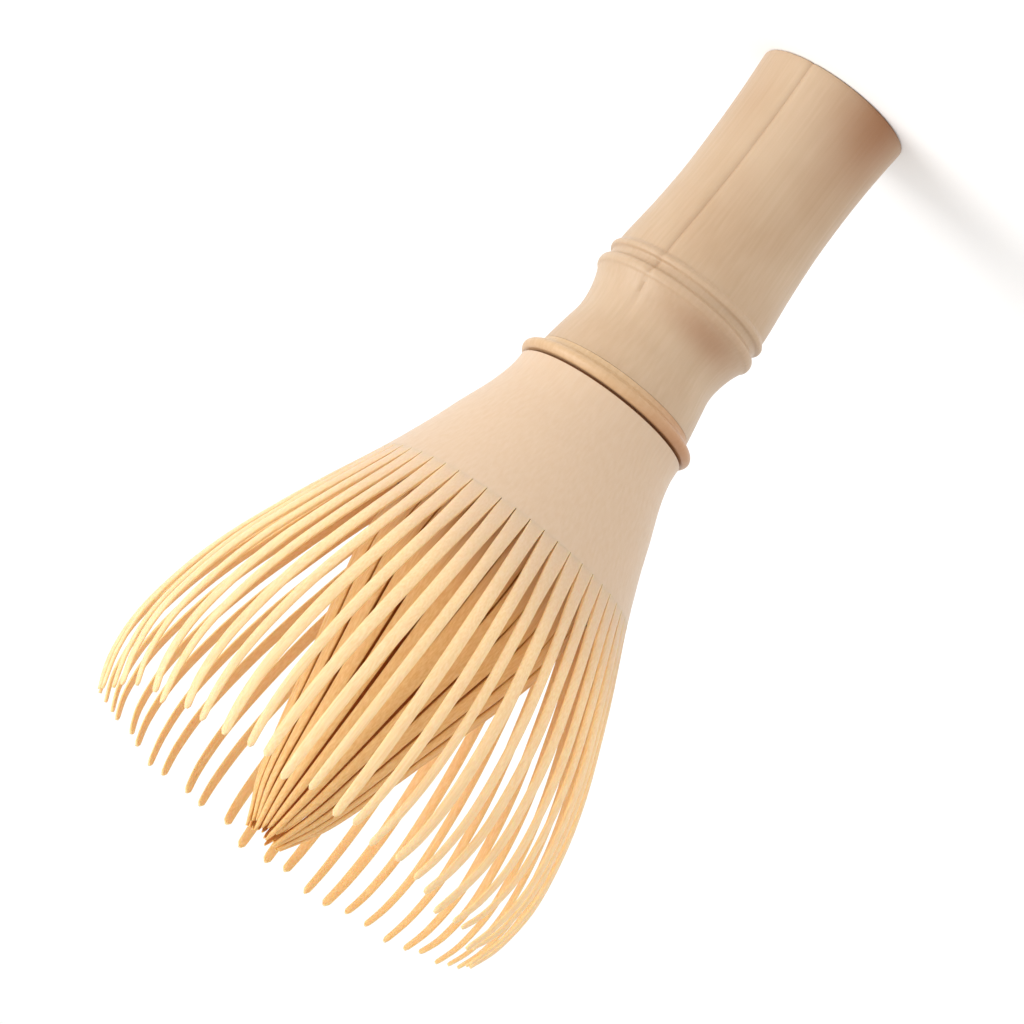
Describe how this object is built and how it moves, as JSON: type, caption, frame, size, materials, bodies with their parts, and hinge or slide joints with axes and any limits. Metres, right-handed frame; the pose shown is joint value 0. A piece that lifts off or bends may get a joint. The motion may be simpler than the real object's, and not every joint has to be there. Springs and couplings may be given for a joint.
{
  "type": "tea whisk",
  "caption": "Bamboo tea whisk: hollow culm handle with one node, bead collar, flared crown, and springy split tines around a closed inner bud.",
  "frame": {"origin": "centre of the handle's cut end, which the whisk stands on", "axes": "+Z along the whisk's axis, from the handle's cut end towards the tines"},
  "size_m": [0.0608, 0.0608, 0.1175],
  "materials": {
    "culm_skin": "satin",
    "collar_bead": "satin",
    "split_outer": "matte",
    "split_inner": "matte",
    "dowel_wood": "matte"
  },
  "bodies": {
    "whisk_base": {"handle": "culm_skin", "collar_ring": "collar_bead", "outer_crown": "culm_skin", "inner_crown": "split_inner", "core_dowel": "dowel_wood"},
    "outer_pair_01": {"outer_tines_01": "split_outer"},
    "outer_pair_02": {"outer_tines_02": "split_outer"},
    "outer_pair_03": {"outer_tines_03": "split_outer"},
    "outer_pair_04": {"outer_tines_04": "split_outer"},
    "outer_pair_05": {"outer_tines_05": "split_outer"},
    "outer_pair_06": {"outer_tines_06": "split_outer"},
    "outer_pair_07": {"outer_tines_07": "split_outer"},
    "outer_pair_08": {"outer_tines_08": "split_outer"},
    "outer_pair_09": {"outer_tines_09": "split_outer"},
    "outer_pair_10": {"outer_tines_10": "split_outer"},
    "outer_pair_11": {"outer_tines_11": "split_outer"},
    "outer_pair_12": {"outer_tines_12": "split_outer"},
    "outer_pair_13": {"outer_tines_13": "split_outer"},
    "outer_pair_14": {"outer_tines_14": "split_outer"},
    "outer_pair_15": {"outer_tines_15": "split_outer"},
    "outer_pair_16": {"outer_tines_16": "split_outer"},
    "outer_pair_17": {"outer_tines_17": "split_outer"},
    "outer_pair_18": {"outer_tines_18": "split_outer"},
    "outer_pair_19": {"outer_tines_19": "split_outer"},
    "outer_pair_20": {"outer_tines_20": "split_outer"},
    "outer_pair_21": {"outer_tines_21": "split_outer"},
    "outer_pair_22": {"outer_tines_22": "split_outer"},
    "outer_pair_23": {"outer_tines_23": "split_outer"},
    "outer_pair_24": {"outer_tines_24": "split_outer"},
    "outer_pair_25": {"outer_tines_25": "split_outer"},
    "outer_pair_26": {"outer_tines_26": "split_outer"},
    "outer_pair_27": {"outer_tines_27": "split_outer"},
    "inner_pair_01": {"inner_tines_01": "split_inner"},
    "inner_pair_02": {"inner_tines_02": "split_inner"},
    "inner_pair_03": {"inner_tines_03": "split_inner"},
    "inner_pair_04": {"inner_tines_04": "split_inner"},
    "inner_pair_05": {"inner_tines_05": "split_inner"},
    "inner_pair_06": {"inner_tines_06": "split_inner"},
    "inner_pair_07": {"inner_tines_07": "split_inner"},
    "inner_pair_08": {"inner_tines_08": "split_inner"},
    "inner_pair_09": {"inner_tines_09": "split_inner"},
    "inner_pair_10": {"inner_tines_10": "split_inner"},
    "inner_pair_11": {"inner_tines_11": "split_inner"},
    "inner_pair_12": {"inner_tines_12": "split_inner"},
    "inner_pair_13": {"inner_tines_13": "split_inner"}
  },
  "joints": [
    {"name": "outer_bend_01", "type": "hinge", "parent": "whisk_base", "child": "outer_pair_01", "pos_m": [0.01824, 0, 0.06922], "axis": [0, 1, 0], "range_deg": [-6, 6], "stiffness_Nm_per_rad": 0.02},
    {"name": "outer_bend_02", "type": "hinge", "parent": "whisk_base", "child": "outer_pair_02", "pos_m": [0.01775, 0.00421, 0.06922], "axis": [-0.2306, 0.973, 0], "range_deg": [-6, 6], "stiffness_Nm_per_rad": 0.02},
    {"name": "outer_bend_03", "type": "hinge", "parent": "whisk_base", "child": "outer_pair_03", "pos_m": [0.0163, 0.00819, 0.06922], "axis": [-0.4488, 0.8936, 0], "range_deg": [-6, 6], "stiffness_Nm_per_rad": 0.02},
    {"name": "outer_bend_04", "type": "hinge", "parent": "whisk_base", "child": "outer_pair_04", "pos_m": [0.01397, 0.01172, 0.06922], "axis": [-0.6428, 0.766, 0], "range_deg": [-6, 6], "stiffness_Nm_per_rad": 0.02},
    {"name": "outer_bend_05", "type": "hinge", "parent": "whisk_base", "child": "outer_pair_05", "pos_m": [0.01089, 0.01463, 0.06922], "axis": [-0.8021, 0.5972, 0], "range_deg": [-6, 6], "stiffness_Nm_per_rad": 0.02},
    {"name": "outer_bend_06", "type": "hinge", "parent": "whisk_base", "child": "outer_pair_06", "pos_m": [0.00722, 0.01675, 0.06922], "axis": [-0.9182, 0.3961, 0], "range_deg": [-6, 6], "stiffness_Nm_per_rad": 0.02},
    {"name": "outer_bend_07", "type": "hinge", "parent": "whisk_base", "child": "outer_pair_07", "pos_m": [0.00317, 0.01796, 0.06922], "axis": [-0.9848, 0.1736, 0], "range_deg": [-6, 6], "stiffness_Nm_per_rad": 0.02},
    {"name": "outer_bend_08", "type": "hinge", "parent": "whisk_base", "child": "outer_pair_08", "pos_m": [-0.00106, 0.01821, 0.06922], "axis": [-0.9983, -0.0581, 0], "range_deg": [-6, 6], "stiffness_Nm_per_rad": 0.02},
    {"name": "outer_bend_09", "type": "hinge", "parent": "whisk_base", "child": "outer_pair_09", "pos_m": [-0.00523, 0.01747, 0.06922], "axis": [-0.958, -0.2868, 0], "range_deg": [-6, 6], "stiffness_Nm_per_rad": 0.02},
    {"name": "outer_bend_10", "type": "hinge", "parent": "whisk_base", "child": "outer_pair_10", "pos_m": [-0.00912, 0.0158, 0.06922], "axis": [-0.866, -0.5, 0], "range_deg": [-6, 6], "stiffness_Nm_per_rad": 0.02},
    {"name": "outer_bend_11", "type": "hinge", "parent": "whisk_base", "child": "outer_pair_11", "pos_m": [-0.01252, 0.01327, 0.06922], "axis": [-0.7274, -0.6862, 0], "range_deg": [-6, 6], "stiffness_Nm_per_rad": 0.02},
    {"name": "outer_bend_12", "type": "hinge", "parent": "whisk_base", "child": "outer_pair_12", "pos_m": [-0.01524, 0.01002, 0.06922], "axis": [-0.5495, -0.8355, 0], "range_deg": [-6, 6], "stiffness_Nm_per_rad": 0.02},
    {"name": "outer_bend_13", "type": "hinge", "parent": "whisk_base", "child": "outer_pair_13", "pos_m": [-0.01714, 0.00624, 0.06922], "axis": [-0.342, -0.9397, 0], "range_deg": [-6, 6], "stiffness_Nm_per_rad": 0.02},
    {"name": "outer_bend_14", "type": "hinge", "parent": "whisk_base", "child": "outer_pair_14", "pos_m": [-0.01812, 0.00212, 0.06922], "axis": [-0.1161, -0.9932, 0], "range_deg": [-6, 6], "stiffness_Nm_per_rad": 0.02},
    {"name": "outer_bend_15", "type": "hinge", "parent": "whisk_base", "child": "outer_pair_15", "pos_m": [-0.01812, -0.00212, 0.06922], "axis": [0.1161, -0.9932, 0], "range_deg": [-6, 6], "stiffness_Nm_per_rad": 0.02},
    {"name": "outer_bend_16", "type": "hinge", "parent": "whisk_base", "child": "outer_pair_16", "pos_m": [-0.01714, -0.00624, 0.06922], "axis": [0.342, -0.9397, 0], "range_deg": [-6, 6], "stiffness_Nm_per_rad": 0.02},
    {"name": "outer_bend_17", "type": "hinge", "parent": "whisk_base", "child": "outer_pair_17", "pos_m": [-0.01524, -0.01002, 0.06922], "axis": [0.5495, -0.8355, 0], "range_deg": [-6, 6], "stiffness_Nm_per_rad": 0.02},
    {"name": "outer_bend_18", "type": "hinge", "parent": "whisk_base", "child": "outer_pair_18", "pos_m": [-0.01252, -0.01327, 0.06922], "axis": [0.7274, -0.6862, 0], "range_deg": [-6, 6], "stiffness_Nm_per_rad": 0.02},
    {"name": "outer_bend_19", "type": "hinge", "parent": "whisk_base", "child": "outer_pair_19", "pos_m": [-0.00912, -0.0158, 0.06922], "axis": [0.866, -0.5, 0], "range_deg": [-6, 6], "stiffness_Nm_per_rad": 0.02},
    {"name": "outer_bend_20", "type": "hinge", "parent": "whisk_base", "child": "outer_pair_20", "pos_m": [-0.00523, -0.01747, 0.06922], "axis": [0.958, -0.2868, 0], "range_deg": [-6, 6], "stiffness_Nm_per_rad": 0.02},
    {"name": "outer_bend_21", "type": "hinge", "parent": "whisk_base", "child": "outer_pair_21", "pos_m": [-0.00106, -0.01821, 0.06922], "axis": [0.9983, -0.0581, 0], "range_deg": [-6, 6], "stiffness_Nm_per_rad": 0.02},
    {"name": "outer_bend_22", "type": "hinge", "parent": "whisk_base", "child": "outer_pair_22", "pos_m": [0.00317, -0.01796, 0.06922], "axis": [0.9848, 0.1736, 0], "range_deg": [-6, 6], "stiffness_Nm_per_rad": 0.02},
    {"name": "outer_bend_23", "type": "hinge", "parent": "whisk_base", "child": "outer_pair_23", "pos_m": [0.00722, -0.01675, 0.06922], "axis": [0.9182, 0.3961, 0], "range_deg": [-6, 6], "stiffness_Nm_per_rad": 0.02},
    {"name": "outer_bend_24", "type": "hinge", "parent": "whisk_base", "child": "outer_pair_24", "pos_m": [0.01089, -0.01463, 0.06922], "axis": [0.8021, 0.5972, 0], "range_deg": [-6, 6], "stiffness_Nm_per_rad": 0.02},
    {"name": "outer_bend_25", "type": "hinge", "parent": "whisk_base", "child": "outer_pair_25", "pos_m": [0.01397, -0.01172, 0.06922], "axis": [0.6428, 0.766, 0], "range_deg": [-6, 6], "stiffness_Nm_per_rad": 0.02},
    {"name": "outer_bend_26", "type": "hinge", "parent": "whisk_base", "child": "outer_pair_26", "pos_m": [0.0163, -0.00819, 0.06922], "axis": [0.4488, 0.8936, 0], "range_deg": [-6, 6], "stiffness_Nm_per_rad": 0.02},
    {"name": "outer_bend_27", "type": "hinge", "parent": "whisk_base", "child": "outer_pair_27", "pos_m": [0.01775, -0.00421, 0.06922], "axis": [0.2306, 0.973, 0], "range_deg": [-6, 6], "stiffness_Nm_per_rad": 0.02},
    {"name": "inner_bend_01", "type": "hinge", "parent": "whisk_base", "child": "inner_pair_01", "pos_m": [0.01281, 0.00077, 0.0661], "axis": [-0.0604, 0.9982, 0], "range_deg": [0, 6], "stiffness_Nm_per_rad": 0.02},
    {"name": "inner_bend_02", "type": "hinge", "parent": "whisk_base", "child": "inner_pair_02", "pos_m": [0.01098, 0.00664, 0.0661], "axis": [-0.5173, 0.8558, 0], "range_deg": [0, 6], "stiffness_Nm_per_rad": 0.02},
    {"name": "inner_bend_03", "type": "hinge", "parent": "whisk_base", "child": "inner_pair_03", "pos_m": [0.00664, 0.01098, 0.0661], "axis": [-0.8558, 0.5173, 0], "range_deg": [0, 6], "stiffness_Nm_per_rad": 0.02},
    {"name": "inner_bend_04", "type": "hinge", "parent": "whisk_base", "child": "inner_pair_04", "pos_m": [0.00077, 0.01281, 0.0661], "axis": [-0.9982, 0.0604, 0], "range_deg": [0, 6], "stiffness_Nm_per_rad": 0.02},
    {"name": "inner_bend_05", "type": "hinge", "parent": "whisk_base", "child": "inner_pair_05", "pos_m": [-0.00527, 0.0117, 0.0661], "axis": [-0.9119, -0.4104, 0], "range_deg": [0, 6], "stiffness_Nm_per_rad": 0.02},
    {"name": "inner_bend_06", "type": "hinge", "parent": "whisk_base", "child": "inner_pair_06", "pos_m": [-0.0101, 0.00791, 0.0661], "axis": [-0.6167, -0.7872, 0], "range_deg": [0, 6], "stiffness_Nm_per_rad": 0.02},
    {"name": "inner_bend_07", "type": "hinge", "parent": "whisk_base", "child": "inner_pair_07", "pos_m": [-0.01262, 0.00231, 0.0661], "axis": [-0.1803, -0.9836, 0], "range_deg": [0, 6], "stiffness_Nm_per_rad": 0.02},
    {"name": "inner_bend_08", "type": "hinge", "parent": "whisk_base", "child": "inner_pair_08", "pos_m": [-0.01225, -0.00382, 0.0661], "axis": [0.2975, -0.9547, 0], "range_deg": [0, 6], "stiffness_Nm_per_rad": 0.02},
    {"name": "inner_bend_09", "type": "hinge", "parent": "whisk_base", "child": "inner_pair_09", "pos_m": [-0.00907, -0.00907, 0.0661], "axis": [0.7071, -0.7071, 0], "range_deg": [0, 6], "stiffness_Nm_per_rad": 0.02},
    {"name": "inner_bend_10", "type": "hinge", "parent": "whisk_base", "child": "inner_pair_10", "pos_m": [-0.00382, -0.01225, 0.0661], "axis": [0.9547, -0.2975, 0], "range_deg": [0, 6], "stiffness_Nm_per_rad": 0.02},
    {"name": "inner_bend_11", "type": "hinge", "parent": "whisk_base", "child": "inner_pair_11", "pos_m": [0.00231, -0.01262, 0.0661], "axis": [0.9836, 0.1803, 0], "range_deg": [0, 6], "stiffness_Nm_per_rad": 0.02},
    {"name": "inner_bend_12", "type": "hinge", "parent": "whisk_base", "child": "inner_pair_12", "pos_m": [0.00791, -0.0101, 0.0661], "axis": [0.7872, 0.6167, 0], "range_deg": [0, 6], "stiffness_Nm_per_rad": 0.02},
    {"name": "inner_bend_13", "type": "hinge", "parent": "whisk_base", "child": "inner_pair_13", "pos_m": [0.0117, -0.00527, 0.0661], "axis": [0.4104, 0.9119, 0], "range_deg": [0, 6], "stiffness_Nm_per_rad": 0.02}
  ],
  "couplings": [
    {"joint": "outer_bend_02", "follows": "outer_bend_01", "ratio": 1},
    {"joint": "outer_bend_03", "follows": "outer_bend_01", "ratio": 1},
    {"joint": "outer_bend_04", "follows": "outer_bend_01", "ratio": 1},
    {"joint": "outer_bend_05", "follows": "outer_bend_01", "ratio": 1},
    {"joint": "outer_bend_06", "follows": "outer_bend_01", "ratio": 1},
    {"joint": "outer_bend_07", "follows": "outer_bend_01", "ratio": 1},
    {"joint": "outer_bend_08", "follows": "outer_bend_01", "ratio": 1},
    {"joint": "outer_bend_09", "follows": "outer_bend_01", "ratio": 1},
    {"joint": "outer_bend_10", "follows": "outer_bend_01", "ratio": 1},
    {"joint": "outer_bend_11", "follows": "outer_bend_01", "ratio": 1},
    {"joint": "outer_bend_12", "follows": "outer_bend_01", "ratio": 1},
    {"joint": "outer_bend_13", "follows": "outer_bend_01", "ratio": 1},
    {"joint": "outer_bend_14", "follows": "outer_bend_01", "ratio": 1},
    {"joint": "outer_bend_15", "follows": "outer_bend_01", "ratio": 1},
    {"joint": "outer_bend_16", "follows": "outer_bend_01", "ratio": 1},
    {"joint": "outer_bend_17", "follows": "outer_bend_01", "ratio": 1},
    {"joint": "outer_bend_18", "follows": "outer_bend_01", "ratio": 1},
    {"joint": "outer_bend_19", "follows": "outer_bend_01", "ratio": 1},
    {"joint": "outer_bend_20", "follows": "outer_bend_01", "ratio": 1},
    {"joint": "outer_bend_21", "follows": "outer_bend_01", "ratio": 1},
    {"joint": "outer_bend_22", "follows": "outer_bend_01", "ratio": 1},
    {"joint": "outer_bend_23", "follows": "outer_bend_01", "ratio": 1},
    {"joint": "outer_bend_24", "follows": "outer_bend_01", "ratio": 1},
    {"joint": "outer_bend_25", "follows": "outer_bend_01", "ratio": 1},
    {"joint": "outer_bend_26", "follows": "outer_bend_01", "ratio": 1},
    {"joint": "outer_bend_27", "follows": "outer_bend_01", "ratio": 1},
    {"joint": "inner_bend_02", "follows": "inner_bend_01", "ratio": 1},
    {"joint": "inner_bend_03", "follows": "inner_bend_01", "ratio": 1},
    {"joint": "inner_bend_04", "follows": "inner_bend_01", "ratio": 1},
    {"joint": "inner_bend_05", "follows": "inner_bend_01", "ratio": 1},
    {"joint": "inner_bend_06", "follows": "inner_bend_01", "ratio": 1},
    {"joint": "inner_bend_07", "follows": "inner_bend_01", "ratio": 1},
    {"joint": "inner_bend_08", "follows": "inner_bend_01", "ratio": 1},
    {"joint": "inner_bend_09", "follows": "inner_bend_01", "ratio": 1},
    {"joint": "inner_bend_10", "follows": "inner_bend_01", "ratio": 1},
    {"joint": "inner_bend_11", "follows": "inner_bend_01", "ratio": 1},
    {"joint": "inner_bend_12", "follows": "inner_bend_01", "ratio": 1},
    {"joint": "inner_bend_13", "follows": "inner_bend_01", "ratio": 1}
  ]
}
